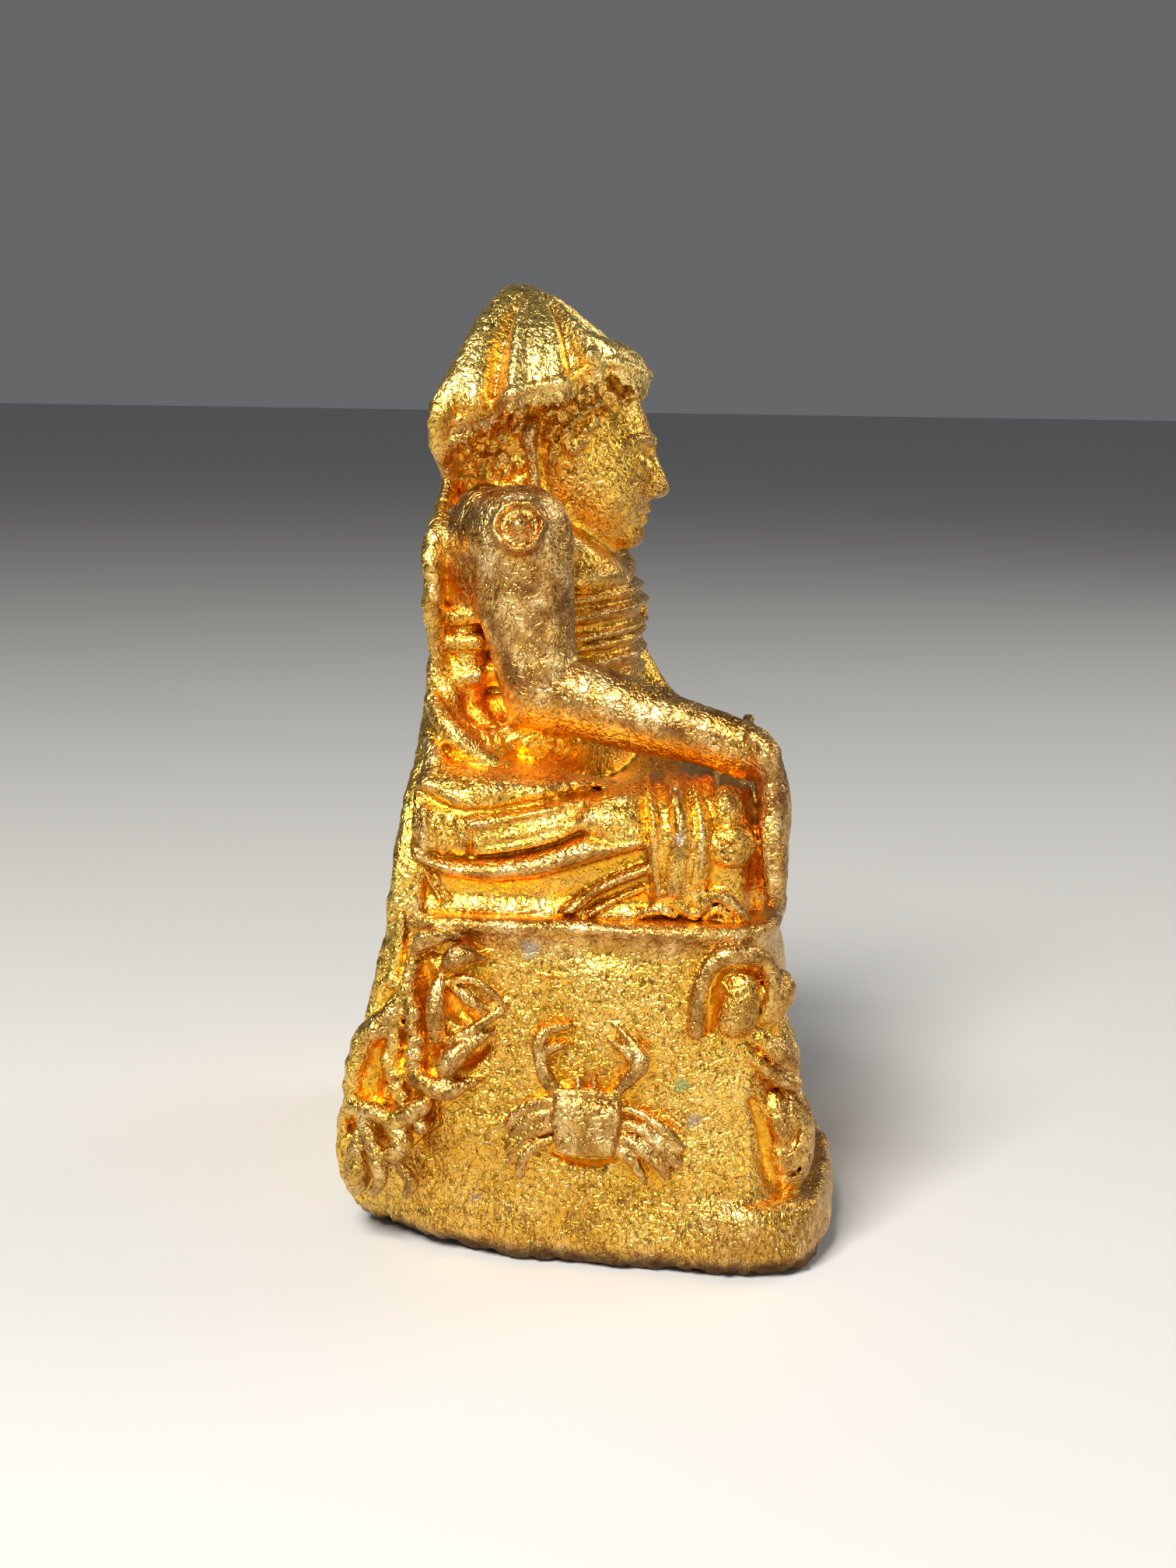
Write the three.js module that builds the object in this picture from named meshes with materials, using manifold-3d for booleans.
// Seated buddha amulet, one small gilded casting.
// Millimetres, +Z up. The figure faces -Y, its right side is at -X, its flat back is at +Y.
// The origin is the middle of the box at the underside of the plinth.
import * as THREE from 'three';
import { mergeVertices } from 'three/addons/utils/BufferGeometryUtils.js';
import Module from 'manifold-3d';

const wasm = await Module();
wasm.setup();
const V = (x, y, z) => new THREE.Vector3(x, y, z);
const { abs, pow, sin, cos, sqrt, exp, min, max, sign, PI } = Math;
const DEG = PI / 180;
const clamp = (v, a, b) => min(b, max(a, v));
const mix = (a, b, t) => a + (b - a) * t;

// ---------------------------------------------------------------- driving dimensions
const HEIGHT = 35.0;            // apex of the leaf hat
const LEDGE_Z = 12.47;          // top of the plinth
const LEDGE_HALF = 10.0;        // half width of the plinth top
const BASE_FLARE = 1.5;         // how much wider the plinth is at its foot, each side
const PLAN_Y = -2.0;            // where the plinth is widest
const LEDGE_FRONT = -6.75;      // front of the plinth top
const FRONT_FLARE = 0.9;
const LEDGE_BACK = 6.75;        // back of the plinth top, inside the slab
const BACK_FLARE = 1.85;
const BAND_TOP = 2.75;          // rounded foot band round the front
const BAND_OUT = 1.4535;
const SLAB_FRONT = 5.95;        // front face of the back slab
const SLAB_BACK = 6.9;          // its flat back, from the legs up
const LEG = { cy: 0.1, cz: 15.0, rx: 9.45, ry: 5.95, up: 3.25, down: 5.4, n: 3.2 };
const TORSO = { cy: 3.2, cz: 22.4, rx: 5.0, ry: 3.95, rz: 5.0 };
const HEAD = { cy: 2.35, cz: 29.0, rx: 2.95, ry: 3.42, rz: 3.75 };
const HAT = { cy: 3.6, apexY: 4.15, brimSide: 4.75, brimFront: 4.45, brimBack: 2.95 };

// ---------------------------------------------------------------- solids
function solid(geo) {
  const g = geo.index ? geo.clone() : geo;
  for (const k of Object.keys(g.attributes)) if (k !== 'position') g.deleteAttribute(k);
  const m = mergeVertices(g, 1e-5);
  const p = new Float32Array(m.attributes.position.array), t = new Uint32Array(m.index.array);
  // faces are turned to point outwards
  let volume = 0;
  for (let i = 0; i < t.length; i += 3) {
    const [a, b, c] = [t[i] * 3, t[i + 1] * 3, t[i + 2] * 3];
    volume += p[a] * (p[b + 1] * p[c + 2] - p[b + 2] * p[c + 1])
      + p[a + 1] * (p[b + 2] * p[c] - p[b] * p[c + 2]) + p[a + 2] * (p[b] * p[c + 1] - p[b + 1] * p[c]);
  }
  if (volume < 0) for (let i = 0; i < t.length; i += 3) [t[i + 1], t[i + 2]] = [t[i + 2], t[i + 1]];
  return new wasm.Manifold(new wasm.Mesh({ numProp: 3, vertProperties: p, triVerts: t }));
}
const pieces = [];
const put = (geo) => { pieces.push(solid(geo)); };

// moves every vertex of a geometry by a function
function shape(geo, fn) {
  const p = geo.attributes.position, v = V(0, 0, 0);
  for (let i = 0; i < p.count; i++) {
    v.fromBufferAttribute(p, i);
    const q = fn(v);
    p.setXYZ(i, q.x, q.y, q.z);
  }
  return geo;
}

// an ellipsoid; turn is an Euler rotation
function ball(c, r, seg = 7, rows = 5, turn = null) {
  const g = new THREE.SphereGeometry(1, seg, rows);
  g.scale(r[0], r[1], r[2]);
  if (turn) g.applyMatrix4(new THREE.Matrix4().makeRotationFromEuler(new THREE.Euler(...turn)));
  g.translate(c[0], c[1], c[2]);
  put(g);
}

// a round-ended tube that follows points; radii run along it, flat squeezes it along one direction
function worm(points, radii, sides = 5, rows = 0, flat = null) {
  const curve = new THREE.CatmullRomCurve3(points.map((p) => V(...p)), false, 'centripetal');
  const R = rows || max(3, points.length + 1);
  const STEPS = 24, frames = curve.computeFrenetFrames(STEPS, false);
  const g = new THREE.SphereGeometry(1, sides, R);
  const flatDir = flat ? V(...flat.dir).normalize() : null;
  shape(g, (v) => {
    const phi = Math.acos(clamp(v.y, -1, 1));
    const i = Math.round((phi / PI) * R), t = 0.5 * (0.35 * (1 - cos((PI * i) / R)) + 1.3 * (i / R));
    const at = curve.getPointAt(t);
    const k = t * (radii.length - 1), a = min(radii.length - 2, Math.floor(k));
    const r = radii.length > 1 ? mix(radii[a], radii[a + 1], k - a) : radii[0];
    const ring = sqrt(v.x * v.x + v.z * v.z);
    const end = i === 0 || i === R ? 0 : (i === 1 || i === R - 1) ? 0.9 : 1;
    const f = Math.round(t * STEPS), n = frames.normals[f], b = frames.binormals[f];
    const d = V(0, 0, 0);
    if (ring > 1e-6 && end > 0) {
      d.addScaledVector(n, (v.x / ring) * r * end).addScaledVector(b, (v.z / ring) * r * end);
      if (flatDir) d.addScaledVector(flatDir, -d.dot(flatDir) * (1 - flat.keep));
    } else {
      d.addScaledVector(frames.tangents[f], (i === 0 ? -1 : 1) * r * 0.4);
    }
    return d.add(at);
  });
  put(g);
}
const mirrored = (pts) => pts.map((p) => [-p[0], p[1], p[2]]);

// ---------------------------------------------------------------- the plinth's wall
const flareAt = (z) => clamp((LEDGE_Z - z) / LEDGE_Z, 0, 1);
const halfWidth = (z) => LEDGE_HALF + BASE_FLARE * pow(flareAt(z), 1.2);
const backAt = (z) => LEDGE_BACK + BACK_FLARE * pow(clamp((13 - z) / 11, 0, 1), 1.2);
const frontAt = (z) => LEDGE_FRONT - FRONT_FLARE * pow(flareAt(z), 1.5);
const backPower = (z) => 3 + 12 * pow(clamp(z / 10, 0, 1), 2);
// half width of the wall at a given depth y and height z
function wallX(y, z) {
  const front = y < PLAN_Y;
  const t = front ? (PLAN_Y - y) / (PLAN_Y - frontAt(z)) : (y - PLAN_Y) / (backAt(z) - PLAN_Y);
  const n = front ? 6 : backPower(z);
  return halfWidth(z) * pow(max(0, 1 - pow(min(t, 1), n)), 1 / n);
}
// a point on the plan outline at angle a, grown by out at the front and sides
function planPoint(a, z, out = 0) {
  const c = abs(cos(a)) < 1e-5 ? 0 : cos(a), s = abs(sin(a)) < 1e-5 ? 0 : sin(a), front = s < 0;
  const n = front ? 6 : backPower(z);
  const L = (front ? PLAN_Y - frontAt(z) : backAt(z) - PLAN_Y) + (front ? out : 0);
  return [
    (halfWidth(z) + (front ? out * 0.273 : 0)) * sign(c) * pow(abs(c), 2 / n),
    PLAN_Y + L * sign(s) * pow(abs(s), 2 / n),
  ];
}

// the exact angle of a vertex on a ring of seg steps
const snap = (a, seg) => (Math.round((a * seg) / (2 * PI)) * 2 * PI) / seg;

function plinthBody() {
  // height, growth all round, growth of the foot band at the front
  const levels = [[0, -0.03, 0.1], [0.5, 0, 1], [BAND_TOP - 0.45, 0, 0.9], [BAND_TOP, 0, 0.05], [7.2, 0, 0], [11.7, 0, 0],
    [11.95, 0.016, 0], [LEDGE_Z, 0.01, 0]];
  const rows = levels.length - 1;
  const g = new THREE.CylinderGeometry(1, 1, 1, 36, rows);
  return shape(g, (v) => {
    const [z, grow, band] = levels[Math.round((v.y + 0.5) * rows)];
    const r = sqrt(v.x * v.x + v.z * v.z);
    if (r < 1e-6) return V(0, PLAN_Y, z);
    const [x, y] = planPoint(snap(Math.atan2(v.z, v.x), 36), z, BAND_OUT * band);
    return V(x * (1 + grow), PLAN_Y + (y - PLAN_Y) * (1 + grow), z);
  });
}

// ---------------------------------------------------------------- the back slab
// half width of the slab against height, read as a smooth curve
const SLAB_HALF = [[0, 7.6], [1.2, 8.9], [2.6, 9.9], [6.5, 10.3], [12.5, 9.75], [15.4, 8.95], [17.0, 7.75], [18.8, 6.4], [21, 6.05],
  [23.6, 6.55], [25.3, 6.3], [26.4, 5.25], [27.4, 3.95], [28.4, 4.65], [29.8, 5.1], [31.2, 4.6], [32.65, 3.1],
  [34.0, 1.5], [34.7, 0.5]];
function slabHalf(z) {
  for (let i = 1; i < SLAB_HALF.length; i++) {
    const [z0, w0] = SLAB_HALF[i - 1], [z1, w1] = SLAB_HALF[i];
    if (z <= z1) return mix(w0, w1, clamp((z - z0) / (z1 - z0), 0, 1));
  }
  return SLAB_HALF[SLAB_HALF.length - 1][1];
}
const slabLean = (z) => -2.15 * pow(clamp((z - 29.3) / 5.7, 0, 1), 1.15);   // the top leans to the apex
// the cast back is not quite flat: how far it swells or dips against height
const SLAB_BEND = [[0, 0], [1.2, 0], [2.6, 0.1], [6.5, 0.25], [12.5, 0.3], [15.4, 0.2], [17.0, 0], [18.8, -0.2], [21, -0.28], [23.6, -0.2],
  [25.3, -0.15], [26.4, -0.25], [27.4, -0.35], [28.4, -0.15], [29.8, -0.1], [31.2, 0]];
function slabBend(z) {
  for (let i = 1; i < SLAB_BEND.length; i++) {
    const [z0, b0] = SLAB_BEND[i - 1], [z1, b1] = SLAB_BEND[i];
    if (z <= z1) return mix(b0, b1, (z - z0) / (z1 - z0));
  }
  return 0;
}
function slab() {
  const rows = SLAB_HALF.length - 1;
  const g = new THREE.BoxGeometry(2, 1, 1, 1, 1, rows);
  return shape(g, (v) => {
    const [z, half] = SLAB_HALF[Math.round((v.z + 0.5) * rows)];
    const foot = backAt(z) - LEDGE_BACK + 0.3 * clamp((13.5 - z) / 4, 0, 1);
    return V(v.x * half, (v.y < 0 ? SLAB_FRONT : SLAB_BACK + foot + slabBend(z)) + slabLean(z), z);
  });
}

// ---------------------------------------------------------------- legs, lap and robe
function legX(y, z) {
  const dz = z - LEG.cz;
  const v = 1 - pow(abs((y - LEG.cy) / LEG.ry), LEG.n) - pow(abs(dz) / (dz > 0 ? LEG.up : LEG.down), LEG.n);
  return LEG.rx * pow(max(0.04, v), 1 / LEG.n);
}
function superBall(cx, cy, cz, rx, ry, up, down, n, seg, rows) {
  const g = new THREE.SphereGeometry(1, seg, rows);
  return shape(g, (v) => {
    const f = pow(pow(abs(v.x), n) + pow(abs(v.z), n) + pow(abs(v.y), n), -1 / n);
    return V(cx + v.x * f * rx, cy + v.z * f * ry, cz + v.y * f * (v.y > 0 ? up : down));
  });
}

// chest and waist; the ribs of the robe run round it, lower at the back
const RIBS = [[23.5, 0.2], [22.75, 0.22], [21.85, 0.24], [20.75, 0.26], [19.6, 0.24]];
function torso() {
  const levels = [[26.4, 0.8, 0], [25.4, 0.93, 0], [24.2, 0.99, 0]];
  for (const [z, r] of RIBS) levels.push([z + 0.3, 1, -0.06], [z, 1, r]);
  levels.push([18.2, 1.0, 0], [17.0, 1.1, 0]);
  const rows = levels.length - 1;
  const g = new THREE.CylinderGeometry(1, 1, 1, 16, rows);
  return shape(g, (v) => {
    const [z, k, out] = levels[Math.round((0.5 - v.y) * rows)];
    const r = sqrt(v.x * v.x + v.z * v.z);
    if (r < 1e-6) return V(0, TORSO.cy, z);
    const a = snap(Math.atan2(v.z, v.x), 16), c = abs(cos(a)) < 1e-5 ? 0 : cos(a), q = abs(sin(a)) < 1e-5 ? 0 : sin(a);
    const y = min(SLAB_FRONT + 0.4, TORSO.cy + (TORSO.ry * k + out) * sign(q) * pow(abs(q), 0.85));
    return V((TORSO.rx * k + out) * sign(c) * pow(abs(c), 0.85), y, z - 0.12 * y);
  });
}

// ---------------------------------------------------------------- the leaf hat
const bump = (a, c, w) => exp(-pow((a - c) / w, 2));
// folds of the leaf against the angle from the front, in degrees
const foldAt = (a) => 0.34 * bump(a, 90, 7) - 0.34 * bump(a, 101, 5) + 0.42 * bump(a, 117, 10) + 0.1 * bump(a, 76, 6)
  - 0.22 * bump(a, 63, 5) + 0.34 * bump(a, 52, 6) - 0.3 * bump(a, 41, 5) + 0.22 * bump(a, 18, 13);
const BRIM_Z = [[0, 31.45], [20, 31.4], [40, 31.85], [52, 31.75], [64, 31.2], [75, 30.95], [90, 31.05], [101, 30.9],
  [112, 29.95], [130, 29.7], [180, 29.8]];
function brimZ(a) {
  for (let i = 1; i < BRIM_Z.length; i++) {
    const [a0, z0] = BRIM_Z[i - 1], [a1, z1] = BRIM_Z[i];
    if (a <= a1) return mix(z0, z1, (a - a0) / (a1 - a0));
  }
  return 29.8;
}
const HAT_RHO = [0, 0.2, 0.56, 0.82, 1.0, 0.97, 0.7];
const HAT_ZETA = [0, 0.1, 0.47, 0.6, 0.86, 1.06, 0.86];
function leafHat() {
  const seg = 26, rows = HAT_RHO.length;
  const g = new THREE.SphereGeometry(1, seg, rows);
  return shape(g, (v) => {
    const phi = Math.acos(clamp(v.y, -1, 1));
    const i = Math.round((phi / PI) * rows);
    if (i === 0) return V(0, HAT.apexY, HEIGHT);
    if (i === rows) return V(0, HAT.cy, 31.2);
    const ang = Math.atan2(v.x, -v.z);             // 0 at the front
    const a = abs(ang) / DEG;
    const c = cos(ang), s = sin(ang);
    const rf = c > 0 ? HAT.brimFront : HAT.brimBack;
    const R = 1 / sqrt(pow(s / HAT.brimSide, 2) + pow(c / rf, 2));
    const grow = clamp(HAT_RHO[i] * 1.1, 0, 1);
    const r = HAT_RHO[i] * R + foldAt(a) * grow * (i < rows - 1 ? 1 : 0.3);
    const z = HEIGHT - (HEIGHT - brimZ(a)) * HAT_ZETA[i] - (i === 1 ? 0.12 : 0);
    const cy = mix(HAT.apexY, HAT.cy, clamp(HAT_RHO[i] * 2, 0, 1));
    return V(r * s, cy - r * c, z);
  });
}

// ================================================================ build
put(plinthBody());
put(slab());
put(superBall(0, LEG.cy, LEG.cz, LEG.rx, LEG.ry, LEG.up, LEG.down - 0.4, LEG.n, 20, 8));
// torso, shoulders and neck
put(torso());
ball([0, 3.38, 25.18], [5.6, 2.72, 1.89], 12, 6);
ball([0, 3.2, 27.2], [2.1, 2.1, 2.6], 10, 4);
// gap under the forearm is deep; the waist swells into the lap
ball([0, 2.62, 18.43], [6.3, 3.92, 1.73], 12, 4);

// edge of the robe from the left shoulder across the chest
worm([[4.62, 1.68, 26.3], [3.02, 0.07, 25.19], [0.39, -0.75, 24.31], [-3.18, 0.09, 23.73], [-4.75, 1.87, 23.55]], [0.28, 0.3, 0.26], 6, 10);
worm([[5.41, 1.91, 25.62], [3.8, 0.12, 24.41], [1.22, -0.74, 23.48], [-1.59, -0.6, 22.99]], [0.24, 0.28, 0.16], 6, 8);

// ---- right arm: hangs at the side, hand over the knee
ball([-5.75, 3.65, 24.95], [1.75, 2.42, 2.45], 10, 6);
worm([[-5.85, 3.2, 25.2], [-5.95, 2.95, 23.4], [-5.95, 2.65, 21.6], [-5.95, 2.55, 20.2]], [1.75, 1.72, 1.55, 1.3], 8, 4);
worm([[-5.95, 2.4, 20.1], [-6.0, 1.2, 20.05], [-6.5, -1.9, 19.5], [-7.1, -4.2, 18.95], [-7.4, -5.6, 18.35]], [1.1, 1.28, 1.1, 0.86, 0.8], 8, 5);
ball([-5.95, 2.6, 20.05], [1.42, 1.4, 1.3], 8, 5);
worm([[-7.4, -5.3, 18.5], [-7.6, -6.1, 17.6], [-7.7, -6.35, 16.4], [-7.75, -6.45, 15.2]], [0.85, 1.3, 1.35, 1.15], 6, 5, { dir: [0, 1, 0], keep: 0.42 });
for (let i = 0; i < 4; i++) {
  const x = -8.75 + i * 0.66, len = [0.35, 0.0, 0.12, 0.5][i];
  worm([[x, -6.35, 15.9], [x, -6.6, 14.6], [x + 0.03, -6.62, 13.1 + len]], [0.36, 0.36, 0.3], 5, 4);
}
worm([[-6.2, -6.0, 17.4], [-5.7, -6.0, 16.4], [-5.6, -6.05, 15.6]], [0.42, 0.4, 0.3], 6, 4);
// ---- left arm: bent, hand in the lap, under the robe
ball([5.65, 3.65, 24.95], [1.75, 2.42, 2.45], 9, 6);
worm([[5.75, 3.2, 25.2], [5.95, 2.9, 23.4], [6.0, 2.1, 21.6], [6.0, 1.1, 20.1]], [1.75, 1.72, 1.55, 1.4], 7, 4);
worm([[6.0, 1.0, 20.0], [5.2, -0.7, 18.1], [3.4, -2.7, 17.6], [1.6, -3.6, 17.6]], [1.35, 1.1, 0.85, 0.75], 6, 5);
worm([[1.8, -3.6, 18.0], [0.2, -4.0, 18.05], [-1.5, -3.9, 18.05]], [0.9, 1.1, 0.75], 6, 4, { dir: [0, 0, 1], keep: 0.45 });
worm([[2.42, 0.99, 24.89], [5.5, 0.9, 23.41], [7.37, 2.21, 22.19]], [0.2, 0.24, 0.2], 5, 6);
worm([[4.62, 1.18, 22.89], [6.61, 0.98, 21.39], [7.32, 2.4, 20.62]], [0.2, 0.24, 0.2], 5, 6);

// ---- pins on the shoulders and knees: a ring, a groove and a dome
function pin(c, dir, R, h) {
  const prof = [[0, -0.9 * R], [R, -0.9 * R], [R, h * 0.55], [R * 0.86, h * 0.8], [R * 0.68, h * 0.72], [R * 0.6, h * 0.5], [R * 0.5, h * 0.95], [R * 0.28, h * 1.35], [0, h * 1.45]];
  const g = new THREE.LatheGeometry(prof.map(([x, y]) => new THREE.Vector2(x, y)), 10);
  g.applyQuaternion(new THREE.Quaternion().setFromUnitVectors(V(0, 1, 0), V(...dir).normalize()));
  g.translate(...c);
  put(g);
}
pin([-7.25, 3.0, 26.0], [-0.92, -0.16, 0.36], 1.0, 0.55);
pin([7.15, 3.0, 26.0], [0.92, -0.16, 0.36], 1.0, 0.55);

// ---- folds of the lower robe over the thigh and knee, both sides
const onLeg = (p, lift = 0) => [-(legX(p[0], p[1]) + lift), p[0], p[1]];
const FOLDS = [
  { p: [[6.0, 18.1], [5.1, 17.6], [3.4, 17.35], [1.9, 17.3]], r: [0.42, 0.42, 0.25], in: 0.5 },
  { p: [[5.9, 16.1], [4.7, 16.35], [2.2, 16.75], [0.4, 17.0], [-1.1, 17.2]], r: [0.62, 0.6, 0.5, 0.28], in: 0.25, both: true },
  { p: [[5.2, 15.35], [2.6, 15.75], [1.2, 16.2], [-0.6, 16.6]], r: [0.3, 0.42, 0.4, 0.3], in: 0.22 },
  { p: [[4.4, 14.55], [2.9, 14.85], [1.55, 15.3], [0.0, 15.8]], r: [0.36, 0.38, 0.36, 0.26], in: 0.16, both: true },
  { p: [[5.7, 13.2], [3.6, 13.55], [1.2, 14.2], [-0.6, 14.95], [-1.9, 15.1]], r: [0.4, 0.52, 0.52, 0.36], in: 0.26, both: true },
  { p: [[1.6, 12.5], [-0.2, 13.2], [-1.35, 13.85], [-2.1, 14.3]], r: [0.25, 0.32, 0.34, 0.28], in: 0.12 },
  { p: [[-1.75, 17.1], [-2.2, 16.4], [-2.3, 15.3], [-2.45, 14.1], [-2.5, 12.9]], r: [0.24, 0.24, 0.22], in: 0.06 },
  { p: [[-2.85, 17.1], [-3.1, 16.4], [-3.2, 15.6], [-3.15, 14.6], [-3.05, 13.2]], r: [0.42, 0.46, 0.44, 0.4], in: 0.12, both: true },
  { p: [[-3.4, 17.1], [-3.8, 16.2], [-3.85, 15.1], [-3.75, 13.7]], r: [0.22, 0.24, 0.22], in: 0.06 },
];
for (const f of FOLDS) {
  const pts = f.p.map((q) => onLeg(q, -f.in));
  worm(pts, f.r, 4, f.p.length);
  if (f.both) worm(mirrored(pts), f.r, 4, 3);
}
for (const s of [1, -1]) {
  const at = (y, z, lift) => { const q = onLeg([y, z], lift); return [q[0] * s, q[1], q[2]]; };
  for (let i = 0; i < (s > 0 ? 3 : 1); i++) worm([at(5.7 - 0.5 * i, 14.9, 0), at(5.75 - 0.5 * i, 14.2, 0.08), at(5.7 - 0.45 * i, 13.5, 0)], [0.22, 0.3, 0.22], 4, 3);
  ball(at(-4.6, 16.6, -0.35), [0.75, 0.66, 0.85], 6, 4);
  ball(at(-4.9, 15.2, -0.3), [0.75, 0.85, 0.95], 7, 5);
  // wavy hem along the ledge
  const hem = [];
  for (let i = 0; i < 9; i++) hem.push([-(9.35 - 0.045 * i * i) * s, -2.4 - i * 0.45, 12.65 + 0.32 * sin(i * 1.55)]);
  worm(hem, [0.28, 0.3, 0.28], 3, 6);
}
// crossed shins and feet across the front of the lap
worm([[-7.6, -4.4, 15.2], [-4.2, -5.6, 15.3], [-0.8, -5.75, 15.7], [2.0, -5.3, 16.2]], [1.1, 1.05, 0.95, 0.75], 6, 5);
worm([[7.6, -4.4, 14.6], [4.2, -5.6, 14.0], [1.0, -5.8, 13.9], [-1.6, -5.5, 14.0]], [1.1, 1.05, 0.95, 0.75], 6, 5);
for (let i = 0; i < 3; i++) worm([[-5.6 + i * 0.3, -5.6, 12.75 + i * 0.5], [0, -6.35 + i * 0.12, 12.7 + i * 0.42], [5.6 - i * 0.3, -5.6, 12.75 + i * 0.5]], [0.3, 0.34, 0.3], 4, 4);

// ---- head, face and hair
{
  const g = new THREE.SphereGeometry(1, 14, 9);
  shape(g, (v) => {
    let { x, y, z } = v;                       // y is up in the geometry
    const low = clamp(-y, 0, 1);
    const k = 1 - 0.22 * low * low;            // jaw narrows to the chin
    return V(HEAD.rx * x * k, HEAD.cy + HEAD.ry * z * (z > 0 ? 1 : 1 - 0.1 * low), HEAD.cz + HEAD.rz * y);
  });
  put(g);
}
const faceY = HEAD.cy - HEAD.ry;
worm([[0, faceY + 0.4, 29.3], [0, faceY + 0.1, 28.5], [0, faceY - 0.12, 27.8]], [0.24, 0.26, 0.34], 4, 3);
for (const s of [1, -1]) {
  worm([[0.25 * s, faceY + 0.2, 29.25], [1.0 * s, faceY + 0.3, 29.5], [1.85 * s, faceY + 0.9, 29.25]], [0.14, 0.16, 0.12], 3, 3);
  ball([0.98 * s, faceY + 0.56, 28.65], [0.52, 0.34, 0.26], 6, 3);
  // long ears
  worm([[2.75 * s, 2.95, 29.9], [3.2 * s, 3.2, 29.3], [3.15 * s, 3.1, 28.3], [3.0 * s, 3.0, 27.2]], [0.3, 0.42, 0.34, 0.36], 4, 4);
}
worm([[-0.7, faceY + 0.62, 26.68], [0, faceY + 0.36, 26.6], [0.7, faceY + 0.62, 26.68]], [0.12, 0.26, 0.12], 4, 3);
ball([0, faceY + 1.1, 25.75], [0.8, 0.62, 0.5], 6, 3);
// rows of small curls between the hairline and the leaf, as one knobbly cap
{
  const seg = 18, rows = 6;
  const g = new THREE.SphereGeometry(1, seg, rows);
  shape(g, (v) => {
    const row = Math.round((Math.acos(clamp(v.y, -1, 1)) / PI) * rows);
    const col = Math.round((Math.atan2(v.z, v.x) * seg) / (2 * PI));
    const knob = (row + col) % 2 === 0 ? 1.0 : 0.9;
    const drop = clamp(v.z, 0, 1);                      // lower at the nape than at the brow
    return V(3.23 * v.x * knob, 3.75 + 2.8 * v.z * knob, 29.78 - 0.35 * drop + (v.y > 0 ? 2.1 : 2.2) * v.y);
  });
  put(g);
}
put(leafHat());

// ---- reliefs on the side walls; a relief point is depth y, height z
const onWall = (p, lift = 0, s = -1) => [s * (wallX(p[0], p[1]) + lift), p[0], p[1]];
const wallWorm = (pts, r, lift, sides = 3, rows = 0, s = -1) => worm(pts.map((p) => onWall(p, lift, s)), r, sides, rows || min(4, pts.length));
// crab
{
  const c = [-0.28, 5.32];
  const g = new THREE.SphereGeometry(1, 8, 6);
  shape(g, (v) => {
    const f = pow(pow(abs(v.x), 5) + pow(abs(v.y), 5) + pow(abs(v.z), 5), -1 / 5);
    const wide = 1 + 0.08 * v.y;
    const y = c[0] - v.x * f * 1.1 * wide, z = c[1] + v.y * f * 0.98 + v.x * f * 0.04;
    return V(-(wallX(y, z) + v.z * f * 0.72), y, z);
  });
  put(g);
  wallWorm([[0.72, 6.4], [1.17, 6.83], [1.4, 7.5], [1.52, 8.05], [1.38, 8.55], [0.9, 8.72], [0.25, 8.8]], [0.2, 0.22, 0.2, 0.14], 0.2);
  wallWorm([[1.35, 7.85], [0.94, 8.03], [0.45, 8.17]], [0.16, 0.16, 0.1], 0.15);
  wallWorm([[-1.15, 6.35], [-1.6, 6.95], [-2.0, 7.4]], [0.18, 0.2, 0.24], 0.2);
  ball(onWall([-2.08, 7.75], 0.2), [0.36, 0.33, 0.46], 6, 4);
  wallWorm([[-2.1, 7.8], [-1.75, 8.25], [-1.15, 8.85]], [0.2, 0.18, 0.1], 0.15);
  wallWorm([[-1.95, 7.78], [-1.5, 8.02], [-0.92, 8.35]], [0.16, 0.16, 0.1], 0.15);
  for (const [a, b] of [[0.11, -0.02], [-0.47, -0.48]]) wallWorm([[a, 6.85], [b, 6.3]], [0.13, 0.13], 0.1, 5, 3);
  for (const p of [
    [[-1.2, 5.95], [-1.9, 5.85], [-2.75, 5.52], [-3.22, 5.18], [-3.55, 4.68]],
    [[-1.2, 5.4], [-2.25, 5.25], [-2.93, 4.75], [-3.42, 4.18]],
    [[-1.15, 4.95], [-2.1, 4.72], [-2.68, 4.26], [-3.08, 3.72]],
    [[-1.1, 4.55], [-1.8, 4.22], [-2.2, 3.78], [-2.34, 3.38]],
    [[0.75, 6.0], [1.7, 5.92], [2.4, 5.43], [2.62, 5.0]],
    [[0.75, 5.6], [1.72, 5.46], [2.34, 4.82], [2.55, 4.25]],
    [[0.75, 5.15], [1.66, 4.98], [2.24, 4.4], [2.48, 3.8]],
    [[0.72, 4.7], [1.66, 4.45], [2.05, 3.9], [2.08, 3.32]]]) wallWorm(p, [0.16, 0.21, 0.21, 0.19], 0.12, 3, 3);
}
// upright water creature at the back of the wall
for (const [y, z, r] of [[6.05, 10.4, 0.3], [6.1, 9.8, 0.28], [6.1, 9.25, 0.26], [6.05, 8.7, 0.32], [6.15, 8.1, 0.3], [6.05, 7.4, 0.34], [6.05, 6.85, 0.3]])
  ball(onWall([y, z], 0.12), [r * 0.8, r * 1.25, r], 5, 3);
for (const [y, z, r] of [[6.85, 9.2, 0.32], [6.95, 8.4, 0.36], [7.0, 7.6, 0.34], [7.2, 6.1, 0.4], [6.9, 5.3, 0.4]])
  ball(onWall([y, z], 0.1), [r * 0.9, r, r * 1.1], 5, 3);
wallWorm([[5.45, 10.15], [5.2, 9.8], [5.1, 9.1], [5.15, 8.4], [5.35, 7.75]], [0.14, 0.28, 0.3, 0.26, 0.12], 0.22, 6);
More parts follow.
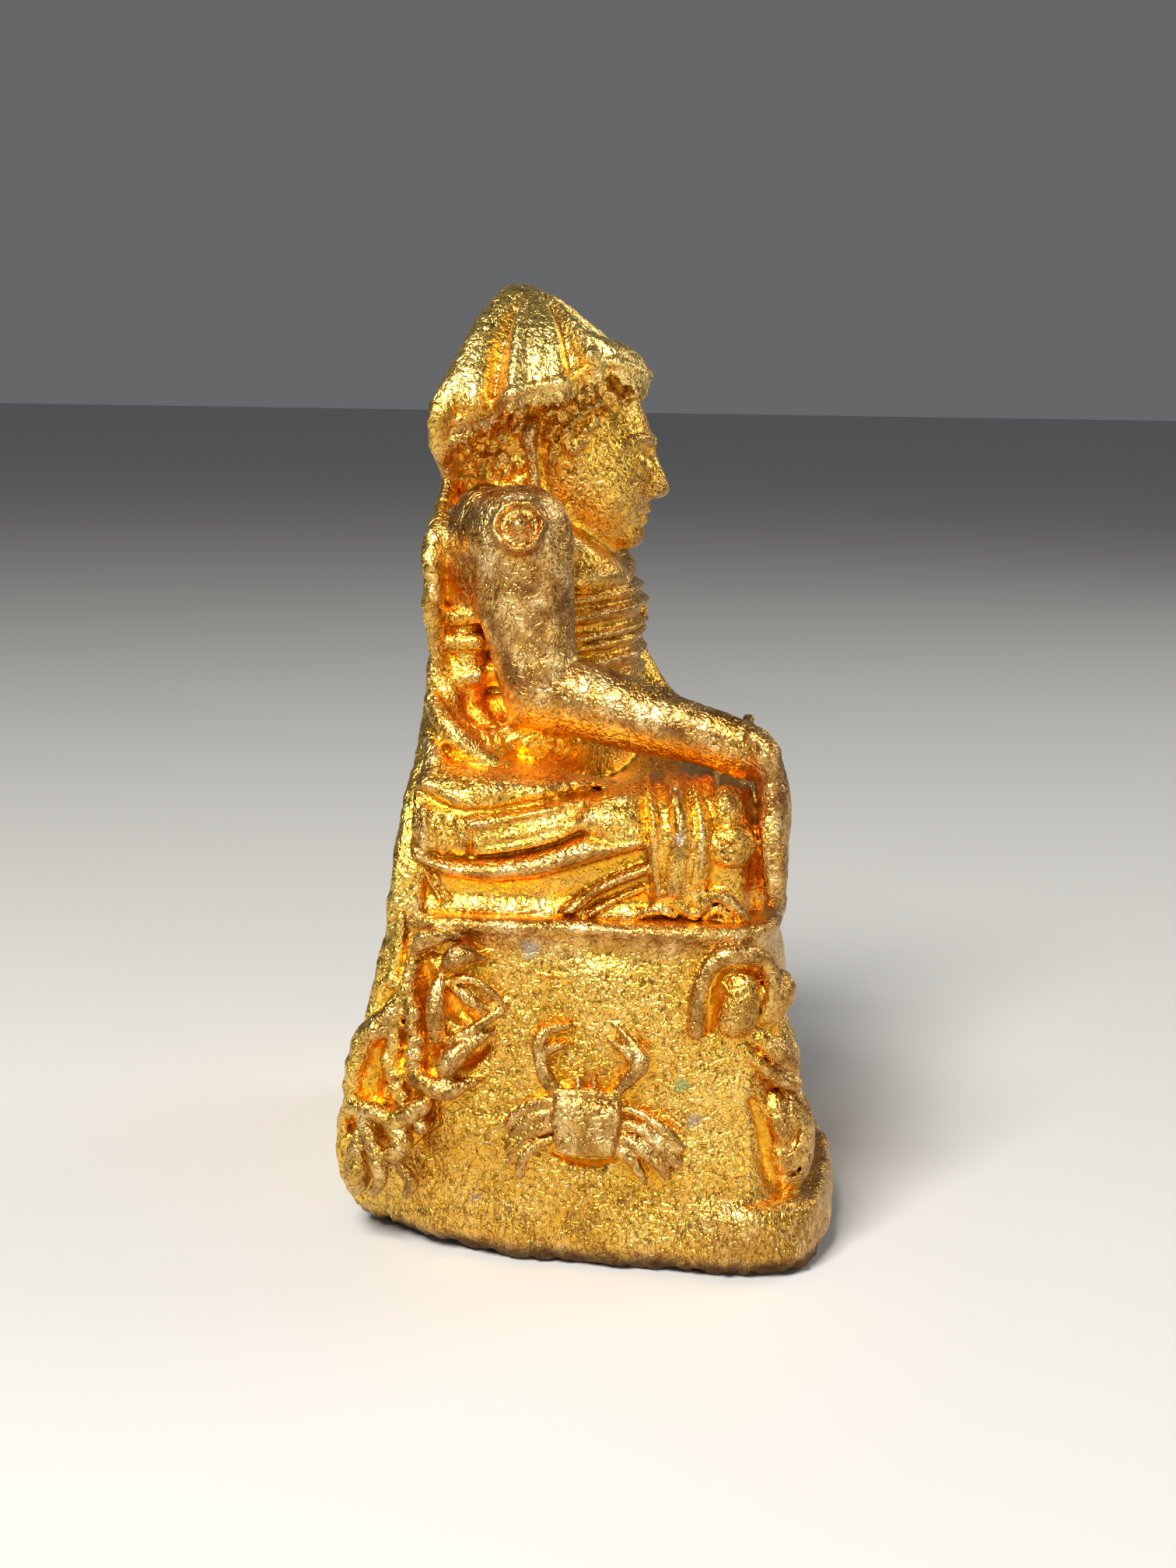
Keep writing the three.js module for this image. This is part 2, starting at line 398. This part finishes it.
wallWorm([[5.95, 11.2], [5.8, 11.5], [5.5, 11.6], [4.85, 11.52]], [0.2, 0.26, 0.24, 0.12], 0.1);
wallWorm([[4.75, 10.7], [4.4, 10.9], [4.05, 10.98], [3.6, 10.9]], [0.28, 0.36, 0.3, 0.12], 0.1);
wallWorm([[4.85, 9.95], [4.3, 9.85], [3.7, 9.68], [3.2, 9.45], [2.8, 9.2]], [0.2, 0.24, 0.2, 0.1], 0.12);
wallWorm([[2.85, 9.15], [3.45, 8.7], [4.2, 8.25], [4.9, 7.85]], [0.1, 0.22, 0.26, 0.2], 0.1);
wallWorm([[4.75, 6.95], [4.45, 7.4], [4.0, 7.75], [3.2, 8.3]], [0.42, 0.38, 0.28, 0.1], 0.14, 6);
wallWorm([[6.2, 6.15], [5.6, 5.98], [4.85, 6.05], [3.95, 6.42]], [0.3, 0.34, 0.32, 0.2], 0.14);
worm([[-10.2, 6.75, 9.1], [-10.25, 7.2, 8.5], [-10.15, 7.8, 8.0], [-10.1, 8.15, 7.2], [-10.1, 8.4, 6.2], [-10.1, 8.45, 5.4]], [0.32, 0.4, 0.36, 0.28, 0.18], 6);
// curled leaf at the back corner of the foot
worm([[-9.4, 8.65, 4.1], [-9.85, 8.25, 5.0], [-10.2, 7.6, 5.05], [-10.45, 6.8, 5.0], [-10.6, 6.2, 5.25], [-10.7, 5.7, 5.65]], [0.3, 0.38, 0.36, 0.32, 0.24], 6);
worm([[-10.2, 7.8, 4.9], [-10.4, 7.55, 4.0], [-10.4, 7.35, 3.2], [-10.3, 7.3, 2.6]], [0.28, 0.38, 0.26], 6, 4);
worm([[-10.3, 7.1, 4.8], [-10.5, 6.55, 4.3], [-10.5, 6.8, 3.65]], [0.3, 0.36, 0.26], 6, 4);
worm([[-9.9, 8.15, 4.5], [-10.05, 8.15, 3.4], [-9.9, 8.05, 2.5]], [0.3, 0.42, 0.3], 6, 4);
worm([[-9.5, 8.75, 4.2], [-9.6, 8.75, 3.3], [-9.3, 8.5, 2.3]], [0.2, 0.26, 0.22], 5, 4);
worm([[-9.6, 8.3, 1.3], [-10.0, 7.7, 1.2], [-10.4, 6.9, 1.6]], [0.22, 0.28, 0.16], 5, 4);

// a small worshipper kneeling at the front corner of the right side
for (const s of [-1]) {
  const at = (x, y, z) => [s * x, y, z];
  worm([[3.92, 8.7], [4.0, 9.55], [4.14, 10.3], [4.4, 11.0], [4.9, 11.42], [5.5, 11.55], [6.2, 11.4], [6.6, 11.0]].map(([y, z]) => at(9.95 - 0.02 * y, -y, z)),
    [0.24, 0.26, 0.26, 0.24], 3, 6);
  ball(at(9.75, -5.4, 9.75), [1.0, 0.86, 1.35], 7, 5);
  worm([at(9.3, -6.4, 11.0), at(9.4, -6.75, 10.4), at(9.4, -6.7, 9.5), at(9.4, -6.3, 8.9)], [0.28, 0.34, 0.32, 0.24], 4, 4);
  ball(at(9.1, -7.05, 9.95), [0.75, 0.62, 0.72], 6, 4);
  worm([at(10.1, -5.5, 8.5), at(9.9, -6.3, 7.75), at(9.6, -7.1, 6.9)], [0.16, 0.2, 0.18], 4, 3);
  worm([at(9.6, -6.0, 8.5), at(9.4, -6.9, 7.9), at(9.0, -7.6, 6.9)], [0.36, 0.45, 0.36], 5, 3);
  ball(at(8.9, -7.7, 6.55), [0.5, 0.4, 0.4], 6, 4);
  worm([at(8.6, -7.2, 8.6), at(8.5, -7.6, 6.5), at(8.5, -7.7, 4.2), at(8.5, -7.6, 2.8)], [0.7, 0.95, 1.05, 0.8], 6, 5);
  worm([at(9.5, -7.3, 5.9), at(9.6, -7.9, 5.2), at(9.4, -8.2, 4.2), at(9.3, -8.0, 3.2)], [0.32, 0.4, 0.42, 0.3], 5, 4);
  worm([at(9.7, -7.2, 5.1), at(9.75, -7.35, 4.2), at(9.5, -7.7, 3.5)], [0.28, 0.32, 0.24], 4, 3);
}
// lotus bud between them, on the front
for (let i = -1; i <= 1; i++)
  worm([[0.5 * i, -7.2, 3.6], [1.35 * i, -7.0, 5.5], [0.9 * i, -6.65, 7.6 - 0.35 * abs(i)]], [0.3, 0.55, 0.2], 5, 3);
worm([[-2.8, -7.2, 3.5], [0, -7.45, 3.35], [2.8, -7.2, 3.5]], [0.4, 0.5, 0.4], 6, 6);
// a fish and a leaf on the left wall, plainer
wallWorm([[-2.8, 6.1], [-1.2, 5.5], [1.2, 5.7], [2.6, 6.6]], [0.3, 0.85, 0.7, 0.22], -0.1, 6, 6, 1);
wallWorm([[2.4, 6.5], [3.2, 7.4]], [0.25, 0.3], 0.05, 5, 3, 1);
wallWorm([[2.4, 6.5], [3.5, 6.2]], [0.25, 0.3], 0.05, 5, 3, 1);
wallWorm([[5.42, 9.63], [5.13, 8.33], [5.34, 6.87]], [0.2, 0.42, 0.2], 0.12, 6, 5, 1);

// ---------------------------------------------------------------- one casting
let body = pieces[0];
for (let i = 1; i < pieces.length; i++) body = body.add(pieces[i]);
// the underside is cut flat
{
  const cut = new THREE.BoxGeometry(40, 40, 4);
  cut.translate(0, 0, -2);
  body = body.subtract(solid(cut));
}
// a pocket closed in on all sides is solid metal: only the outer skin is kept
const shells = body.decompose();
body = shells.reduce((a, b) => (abs(b.volume()) > abs(a.volume()) ? b : a));
const out = body.getMesh();
const geo = new THREE.BufferGeometry();
const pos = new Float32Array(out.numVert * 3);
for (let i = 0; i < out.numVert; i++) for (let k = 0; k < 3; k++) pos[3 * i + k] = out.vertProperties[i * out.numProp + k];
geo.setAttribute('position', new THREE.BufferAttribute(pos, 3));
geo.setIndex(new THREE.BufferAttribute(new Uint32Array(out.triVerts), 1));
geo.computeVertexNormals();

const gilt = new THREE.MeshStandardMaterial({ color: 0xd99a2b, roughness: 0.42, metalness: 1.0 });
const amulet = new THREE.Mesh(geo, gilt);
amulet.name = 'amulet_casting';

const group = new THREE.Group();
group.name = 'buddha_amulet';
group.add(amulet);
export default group;
